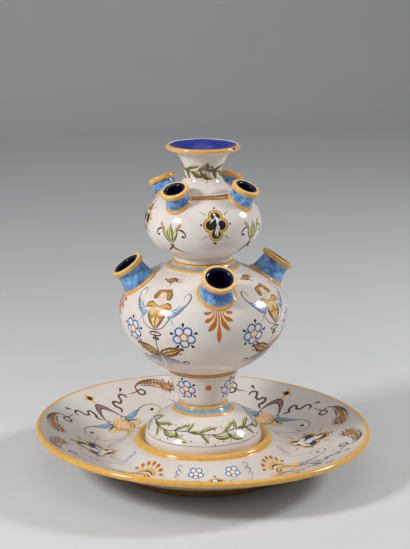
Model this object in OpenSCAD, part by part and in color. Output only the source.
// Tulip vase of painted tin-glazed earthenware, standing loose in the well of its own dish.
// The vase is made in thrown and pressed sections, luted together with slip before firing:
// a foot, a stem, two globes, a neck and two tiers of spouts.
// Millimetres, +Z up. The origin is on the table, under the middle of the dish, and one of
// the lower spouts faces -Y.

/* [Dish] */
// Diameter over the rim
dish_d = 340; // [310:1:380]
// Height of the rim's top above the table
dish_h = 47.5; // [44:0.5:56]
// Thickness of the wall
dish_wall = 6; // [5:0.5:9]
// How far the rolled rim stands proud of each side of the wall
rim_proud = 0.3; // [0.2:0.1:1.5]
// Height of the basin's floor above the table
basin_z = 20.5; // [18:0.5:24]
// Radius where the slope from the well reaches the basin's floor
basin_in_r = 92; // [86:1:98]
// Radius where the basin's floor turns up into the side
basin_out_r = 100; // [99:1:110]
// Radius of that turn, at the middle of the wall
side_turn_r = 29; // [20:1:36]
// Diameter of the foot ring
dish_foot_d = 174; // [164:1:180]
// Width of the foot ring's standing face
dish_foot_w = 8; // [5:0.5:10]
// How far the foot ring's sides lean out from its standing face
dish_foot_lean = 2; // [0.5:0.5:3]

/* [Well] */
// Height of the well's floor, where the vase stands, above the table
well_z = 31; // [29:0.5:34]
// Gap around the foot of the vase
well_gap = 2; // [0.5:0.25:3]
// Width of the raised ring
seat_ring_w = 8.5; // [6:0.5:10]
// Height of the raised ring above the well's floor
seat_ring_h = 5; // [3:0.5:8]

/* [Vase foot] */
// Diameter of the foot
foot_d = 119; // [112:1:124]
// Height of the foot's upright edge
foot_edge_h = 7; // [4:0.5:10]
// Height of the foot, up to the land that the stem stands on
foot_h = 41; // [37:0.5:48]
// Thickness of the foot's wall
foot_wall = 6; // [4:0.5:8]
// Fullness of the foot's dome: 1 is a straight cone, 2 is an ellipse
foot_fullness = 1.5; // [1.2:0.05:2]

/* [Mouldings] */
// Radius of the round beads at the ankle and the waist
bead_r = 2; // [1.2:0.1:2.5]
// Diameter of the ankle's upper bead, at the middle of the bead
ankle_up_d = 47.4; // [46:0.2:50]
// Diameter of the ankle's lower bead, at the middle of the bead
ankle_low_d = 58.6; // [55:0.2:64]
// Height between the ankle's two beads
ankle_rise = 6.3; // [4:0.1:8]
// Diameter of the waist's upper bead, at the middle of the bead
waist_up_d = 60; // [59:0.2:63]
// Diameter of the waist's lower bead, at the middle of the bead
waist_low_d = 71; // [68:0.2:76]
// Height between the waist's two beads
waist_rise = 4; // [2.5:0.1:6]

/* [Stem] */
// Height of the stem
stem_h = 36.7; // [28:0.1:50]
// Diameter at the foot
stem_low_d = 45; // [40:0.5:46]
// Diameter at the lower globe
stem_up_d = 73; // [64:0.5:84]
// Thickness of the stem's wall
stem_wall = 6; // [4:0.5:8]
// How fast the stem swells above the foot: 1 is a straight cone, less is fuller
stem_swell = 0.75; // [0.6:0.05:1]

/* [Lower globe] */
// Diameter of the lower globe
low_globe_d = 169; // [160:1:190]
// Height from its widest line to the crown that its shoulder curves to
low_globe_rise = 48.5; // [42:0.5:60]
// Depth from its widest line to the point that its underside curves to
low_globe_drop = 68; // [60:0.5:80]
// Fullness of its underside: 2 is an ellipse, less is more pointed
low_globe_fullness = 1.9; // [1.7:0.05:2.2]
// Thickness of the globes' walls
globe_wall = 6; // [4:0.5:7]
// Thickness of the lower globe's floor
floor_t = 8; // [6:0.5:12]

/* [Upper globe] */
// Diameter of the upper globe
up_globe_d = 116; // [108:1:126]
// Height from its widest line to the crown that its shoulder curves to
up_globe_rise = 38.5; // [34:0.5:46]
// Depth from its widest line to the point that its underside curves to
up_globe_drop = 38; // [34:0.5:46]
// Diameter of the collar that it stands on
collar_d = 58.6; // [54:0.2:58.8]
// Height of the collar
collar_h = 6; // [3:0.5:12]
// Thickness of the collar's wall around the open waist
collar_wall = 5.5; // [4:0.5:8]

/* [Neck] */
// Height of the neck
neck_h = 44; // [38:0.5:60]
// Diameter of the neck's base on the upper globe
neck_base_d = 60; // [54:0.5:62]
// Diameter of the neck at its narrowest
neck_d = 37; // [32:0.5:44]
// Height of the narrowest place above the neck's base
neck_low_h = 14; // [10:0.5:18]
// Diameter over the rolled lip
mouth_d = 73.8; // [66:0.2:84]
// Radius of the rolled lip
mouth_lip_r = 3; // [2.4:0.1:3.6]
// Diameter of the neck just under the lip
under_lip_d = 57; // [50:0.5:60]
// Thickness of the neck's wall
neck_wall = 5; // [3.5:0.25:6]

/* [Lower spouts] */
// Distance of the spouts' seats from the vase's axis
low_seat_r = 65; // [58:0.5:68]
// Lean of the spouts away from upright
low_tilt = 35; // [28:1:42]
// Height of a spout above its seat
low_spout_h = 22.3; // [16:0.1:30]
// Diameter of the bore
low_bore_d = 22; // [18:0.5:23]
// Diameter of the tube under its lip
low_tube_d = 29; // [28:0.2:31]
// Diameter of the tube where it meets the globe
low_flare_d = 35; // [33:0.2:37]
// Diameter of the raised band around the tube's foot
low_band_d = 39; // [38:0.2:42]
// Diameter over the lip
low_lip_d = 34.2; // [32.5:0.1:36]

/* [Upper spouts] */
// Distance of the spouts' seats from the vase's axis
up_seat_r = 43.5; // [43:0.1:46]
// Lean of the spouts away from upright
up_tilt = 26; // [20:1:32]
// Height of a spout above its seat
up_spout_h = 16; // [12:0.1:22]
// Diameter of the bore
up_bore_d = 16; // [13:0.5:17]
// Diameter of the tube under its lip
up_tube_d = 22.6; // [21.6:0.2:23]
// Diameter of the tube where it meets the globe
up_flare_d = 24.6; // [23.6:0.2:25]
// Diameter of the raised band around the tube's foot
up_band_d = 26.6; // [26:0.2:27]
// Diameter over the lip
up_lip_d = 28; // [25.6:0.1:29]

/* [All spouts] */
// Height of a spout's lip
spout_lip_h = 5; // [4:0.1:6.5]
// Rounding of the lip's outer edges
spout_lip_round = 1.5; // [0.6:0.1:1.8]
// Widening of the bore's radius at the mouth
spout_mouth_flare = 2.7; // [1:0.1:3.2]
// Thickness of the raised band around a tube's foot
spout_band_t = 2; // [1.2:0.1:3]

/* [Hidden] */
LOW_SPOUTS = ["lower_spout_front", "lower_spout_right", "lower_spout_back", "lower_spout_left"];
UP_SPOUTS = [
    "upper_spout_front_right",
    "upper_spout_back_right",
    "upper_spout_back_left",
    "upper_spout_front_left"
];

// Colours of the glaze
white_glaze = "#e4dad0";
blue_glaze = "#6c9ac8";

// Facets of a drawn circle, and steps along a curve of a section
$fn = 96;
curve_steps = 14;
bead_steps = 8;

// Direction of the first spout of each tier: the upper spouts stand between the lower ones
low_first_angle = -90;
up_first_angle = -45;
spout_step = 90;

// How far a bead's round wraps to each side of the band beside it, in degrees
bead_wrap = 55;

// Fullness of a form that is a true ellipse
ellipse = 2;
// How sharply the neck flares outside and inside, and how sharply a spout's tube flares to its seat
neck_flare = 2;
mouth_flare = 2.5;
tube_flare = 2;

// Points on an arc around c, from angle a0 to a1
function arc(c, r, a0, a1, steps) =
    [for (i = [0:steps]) let (a = a0 + (a1 - a0) * i / steps) c + r * [cos(a), sin(a)]];

// Points on a quarter of a rounded form with half sizes w and h around c, from t0 to t1 degrees,
// where 0 is the widest place and 90 the crown. Fullness 2 is an ellipse, and 1 is a straight line.
function swell(c, w, h, fullness, t0, t1) =
    [for (i = [0:curve_steps])
        let (t = t0 + (t1 - t0) * i / curve_steps)
        c + [w * pow(cos(t), 2 / fullness), h * pow(sin(t), 2 / fullness)]];

// Angle at which such a form of half size w has shrunk to the radius r
function swell_angle(w, r, fullness) = acos(pow(r / w, fullness / 2));

// Height of such a form at the radius r, as a share of its half height
function swell_share(w, r, fullness) = pow(sin(swell_angle(w, r, fullness)), 2 / fullness);

// Bead, band and bead: from the land at land_z, out and down over both beads
function moulding(up_r, low_r, land_z, rise) =
    let (out = 90 - atan2(rise, low_r - up_r))
    let (up_c = [up_r, land_z - bead_r])
    let (low_c = up_c + [low_r - up_r, -rise])
    concat(
        arc(up_c, bead_r, 90, out - bead_wrap, bead_steps),
        arc(low_c, bead_r, out + bead_wrap, 0, bead_steps)
    );

function reversed(points) = [for (i = [len(points) - 1:-1:0]) points[i]];

// Dish: radii and heights
well_r = foot_d / 2 + well_gap;
ring_out_r = well_r + seat_ring_w;
dish_foot_r = dish_foot_d / 2;
rim_bead_r = dish_wall / 2 + rim_proud;
rim_c = [dish_d / 2 - rim_bead_r, dish_h - rim_bead_r];

// The middle of the dish's side turns up from the basin's floor on an arc, then runs straight to the rim
side_z = basin_z - dish_wall / 2;
side_c = [basin_out_r, side_z + side_turn_r];
rim_away = rim_c - side_c;
side_angle = atan2(rim_away.y, rim_away.x) + asin(side_turn_r / norm(rim_away));
// Half of the angle that the rim's bead takes up where it meets the wall
rim_open = asin(dish_wall / 2 / rim_bead_r);

// Heights along the vase, from the well's floor up
foot_top_z = well_z + foot_h;
stem_top_z = foot_top_z + stem_h;

low_r = low_globe_d / 2;
stem_up_r = stem_up_d / 2;
low_cut = low_globe_drop * swell_share(low_r, stem_up_r, low_globe_fullness);
low_z = stem_top_z + low_cut;
waist_low_r = waist_low_d / 2;
waist_z = low_z + low_globe_rise * swell_share(low_r, waist_low_r, ellipse) + waist_rise + bead_r;

up_r = up_globe_d / 2;
collar_r = collar_d / 2;
waist_bore_r = collar_r - collar_wall;
neck_base_r = neck_base_d / 2;
collar_top_z = waist_z + collar_h;
up_z = collar_top_z + up_globe_drop * swell_share(up_r, collar_r, ellipse);
neck_z = up_z + up_globe_rise * swell_share(up_r, neck_base_r, ellipse);

// The neck's wall at its base, its throat and its mouth
neck_eye_r = neck_base_r - neck_wall;
throat_r = neck_d / 2 - neck_wall;
throat_z = neck_z + neck_low_h;
lip_c = [mouth_d / 2 - mouth_lip_r, neck_z + neck_h - mouth_lip_r];
under_lip_z = lip_c.y - mouth_lip_r;
lip_start = 140;
lip_end = -90;
mouth_in = lip_c + mouth_lip_r * [cos(lip_start), sin(lip_start)];

// Seats of the spouts on the globes
low_seat_z = low_z + low_globe_rise * swell_share(low_r, low_seat_r, ellipse);
up_seat_z = up_z + up_globe_rise * swell_share(up_r, up_seat_r, ellipse);

// Slope of the dish from the raised ring down to the basin's floor
function well_slope() =
    [for (i = [1:bead_steps])
        let (u = i / bead_steps)
        [ring_out_r + (basin_in_r - ring_out_r) * u,
         basin_z + (well_z - basin_z) * (1 + cos(180 * u)) / 2]];

// Half section of the dish
function dish_section() = concat(
    [[0, well_z]],
    [[well_r, well_z]],
    [for (i = [1:bead_steps])
        let (a = 180 - 180 * i / bead_steps)
        [well_r + seat_ring_w / 2 * (1 + cos(a)), well_z + seat_ring_h * sin(a)]],
    well_slope(),
    arc(side_c, side_turn_r - dish_wall / 2, -90, side_angle - 90, curve_steps),
    arc(rim_c, rim_bead_r, side_angle + 180 - rim_open, side_angle - 180 + rim_open, 2 * bead_steps),
    arc(side_c, side_turn_r + dish_wall / 2, side_angle - 90, -90, curve_steps),
    [[dish_foot_r + dish_foot_lean, basin_z - dish_wall]],
    [[dish_foot_r, 0]],
    [[dish_foot_r - dish_foot_w, 0]],
    [[dish_foot_r - dish_foot_w - dish_foot_lean, basin_z - dish_wall]],
    [[ring_out_r, well_z - dish_wall]],
    [[0, well_z - dish_wall]]
);

// Half section of the foot, open below
foot_r = foot_d / 2;
foot_in_r = foot_r - foot_wall;
foot_edge_z = well_z + foot_edge_h;
ankle_low_r = ankle_low_d / 2;
foot_eye_r = stem_low_d / 2 - stem_wall;
dome_r = ankle_low_r + bead_r;
dome_top_z = foot_top_z - bead_r - ankle_rise;
dome_h = dome_top_z - foot_edge_z;
function foot_section() = concat(
    [[foot_in_r, well_z]],
    [[foot_r, well_z]],
    swell([dome_r, foot_edge_z], foot_r - dome_r, dome_h, foot_fullness, 0, 90),
    reversed(moulding(ankle_up_d / 2, ankle_low_r, foot_top_z, ankle_rise)),
    [[foot_eye_r, foot_top_z]],
    reversed(swell([foot_eye_r, foot_edge_z], foot_in_r - foot_eye_r, dome_h - foot_wall,
        foot_fullness, 0, 90))
);

// Radius of the stem at the share u of its height
function stem_r(u) = (stem_low_d + (stem_up_d - stem_low_d) * pow(u, stem_swell)) / 2;
function stem_line(inset) = [for (i = [0:curve_steps])
    let (u = i / curve_steps)
    [stem_r(u) - inset, foot_top_z + stem_h * u]];
function stem_section() = concat(stem_line(0), reversed(stem_line(stem_wall)));

// Outside of the lower globe, grown by g, from its cut base up to the shoulder
function low_outside(g) = concat(
    reversed(swell([0, low_z], low_r + g, -low_globe_drop - g, low_globe_fullness, 0,
        swell_angle(low_r, stem_up_r, low_globe_fullness))),
    swell([0, low_z], low_r + g, low_globe_rise + g, ellipse, 0,
        swell_angle(low_r, waist_low_r + bead_r, ellipse))
);
low_in_r = low_r - globe_wall;
function low_section() = concat(
    [[0, stem_top_z]],
    low_outside(0),
    reversed(moulding(waist_up_d / 2, waist_low_r, waist_z, waist_rise)),
    [[waist_bore_r, waist_z]],
    reversed(swell([0, low_z], low_in_r, low_globe_rise - globe_wall, ellipse, 0,
        swell_angle(low_in_r, waist_bore_r, ellipse))),
    swell([0, low_z], low_in_r, floor_t - low_cut, low_globe_fullness, 0, 90)
);

// Outside of the upper globe, grown by g, from the collar up to the neck
function up_outside(g) = concat(
    reversed(swell([0, up_z], up_r + g, -up_globe_drop - g, ellipse, 0,
        swell_angle(up_r, collar_r, ellipse))),
    swell([0, up_z], up_r + g, up_globe_rise + g, ellipse, 0,
        swell_angle(up_r, neck_base_r, ellipse))
);
up_in_r = up_r - globe_wall;
function up_section() = concat(
    [[waist_bore_r, waist_z]],
    [[collar_r, waist_z]],
    up_outside(0),
    [[neck_eye_r, neck_z]],
    reversed(swell([0, up_z], up_in_r, up_globe_rise - globe_wall, ellipse, 0,
        swell_angle(up_in_r, neck_eye_r, ellipse))),
    swell([0, up_z], up_in_r, globe_wall - up_globe_drop, ellipse, 0,
        swell_angle(up_in_r, waist_bore_r, ellipse))
);

// One flare of the neck, from the radius r0 at z0 to r1 at z1
function flare(r0, z0, r1, z1, power) = [for (i = [0:curve_steps])
    let (u = i / curve_steps)
    [r0 + (r1 - r0) * pow(u, power), z0 + (z1 - z0) * u]];
function neck_section() = concat(
    reversed(flare(neck_d / 2, throat_z, neck_base_r, neck_z, neck_flare)),
    flare(neck_d / 2, throat_z, under_lip_d / 2, under_lip_z, neck_flare),
    arc(lip_c, mouth_lip_r, lip_end, lip_start, 2 * bead_steps),
    reversed(flare(throat_r, throat_z, mouth_in.x, mouth_in.y, mouth_flare)),
    flare(throat_r, throat_z, neck_eye_r, neck_z, neck_flare)
);

// Half section of a spout's outside, from the depth deep below its seat up to the lip
function spout_section(height, tube_r, flare_r, lip_r, deep) =
    let (tube_top = height - spout_lip_h)
    let (corner = lip_r - spout_lip_round)
    concat(
        [[0, -deep]],
        [[flare_r, -deep]],
        [for (i = [0:bead_steps])
            let (u = i / bead_steps)
            [tube_r + (flare_r - tube_r) * pow(1 - u, tube_flare), tube_top * u]],
        arc([corner, tube_top + spout_lip_round], spout_lip_round, -90, 0, bead_steps),
        arc([corner, height - spout_lip_round], spout_lip_round, 0, 90, bead_steps),
        [[0, height]]
    );

// Puts a spout, drawn upright on its seat, on the side of a globe
module on_globe(seat_r, seat_z, tilt, angle) {
    rotate([0, 0, angle])
        translate([seat_r, 0, seat_z])
            rotate([0, tilt, 0])
                children();
}

// A spout's bore, from its mouth down through the wall of the globe
module spout_bore(height, bore_r, deep) {
    translate([0, 0, -deep])
        cylinder(r = bore_r, h = deep + 2 * height);
    translate([0, 0, height - spout_mouth_flare])
        cylinder(r1 = bore_r, r2 = bore_r + 2 * spout_mouth_flare, h = 2 * spout_mouth_flare);
}

// A spout as a plug without its bore, reaching as deep below its seat as its band is wide
module spout_plug(height, tube_r, flare_r, band_r, lip_r) {
    rotate_extrude()
        polygon(spout_section(height, tube_r, flare_r, lip_r, band_r));
}

module low_blank(g) {
    rotate_extrude()
        polygon(concat([[0, stem_top_z - g]], low_outside(g), [[0, waist_z]]));
}

module up_blank(g) {
    rotate_extrude()
        polygon(concat([[0, waist_z]], up_outside(g), [[0, neck_z + g]]));
}

module on_lower_globe(i) {
    on_globe(low_seat_r, low_seat_z, low_tilt, low_first_angle + spout_step * i)
        children();
}

module on_upper_globe(i) {
    on_globe(up_seat_r, up_seat_z, up_tilt, up_first_angle + spout_step * i)
        children();
}

module dish() {
    color(white_glaze)
        rotate_extrude()
            polygon(dish_section());
}

module foot() {
    color(white_glaze)
        rotate_extrude()
            polygon(foot_section());
}

module stem() {
    color(white_glaze)
        rotate_extrude()
            polygon(stem_section());
}

module lower_globe() {
    color(white_glaze)
        difference() {
            rotate_extrude()
                polygon(low_section());
            for (i = [0:len(LOW_SPOUTS) - 1])
                on_lower_globe(i)
                    spout_bore(low_spout_h, low_bore_d / 2, low_band_d / 2);
        }
}

module lower_spout(i) {
    color(blue_glaze)
        difference() {
            union() {
                on_lower_globe(i)
                    spout_plug(low_spout_h, low_tube_d / 2, low_flare_d / 2, low_band_d / 2, low_lip_d / 2);
                intersection() {
                    low_blank(spout_band_t);
                    on_lower_globe(i)
                        cylinder(d = low_band_d, h = low_band_d, center = true);
                }
            }
            low_blank(0);
            on_lower_globe(i)
                spout_bore(low_spout_h, low_bore_d / 2, low_band_d / 2);
        }
}

module upper_globe() {
    color(white_glaze)
        difference() {
            rotate_extrude()
                polygon(up_section());
            for (i = [0:len(UP_SPOUTS) - 1])
                on_upper_globe(i)
                    spout_bore(up_spout_h, up_bore_d / 2, up_band_d / 2);
        }
}

module upper_spout(i) {
    color(blue_glaze)
        difference() {
            union() {
                on_upper_globe(i)
                    spout_plug(up_spout_h, up_tube_d / 2, up_flare_d / 2, up_band_d / 2, up_lip_d / 2);
                intersection() {
                    up_blank(spout_band_t);
                    on_upper_globe(i)
                        cylinder(d = up_band_d, h = up_band_d, center = true);
                }
            }
            up_blank(0);
            on_upper_globe(i)
                spout_bore(up_spout_h, up_bore_d / 2, up_band_d / 2);
        }
}

module neck() {
    color(white_glaze)
        rotate_extrude()
            polygon(neck_section());
}

dish();
foot();
stem();
lower_globe();
for (i = [0:len(LOW_SPOUTS) - 1])
    lower_spout(i);
upper_globe();
for (i = [0:len(UP_SPOUTS) - 1])
    upper_spout(i);
neck();
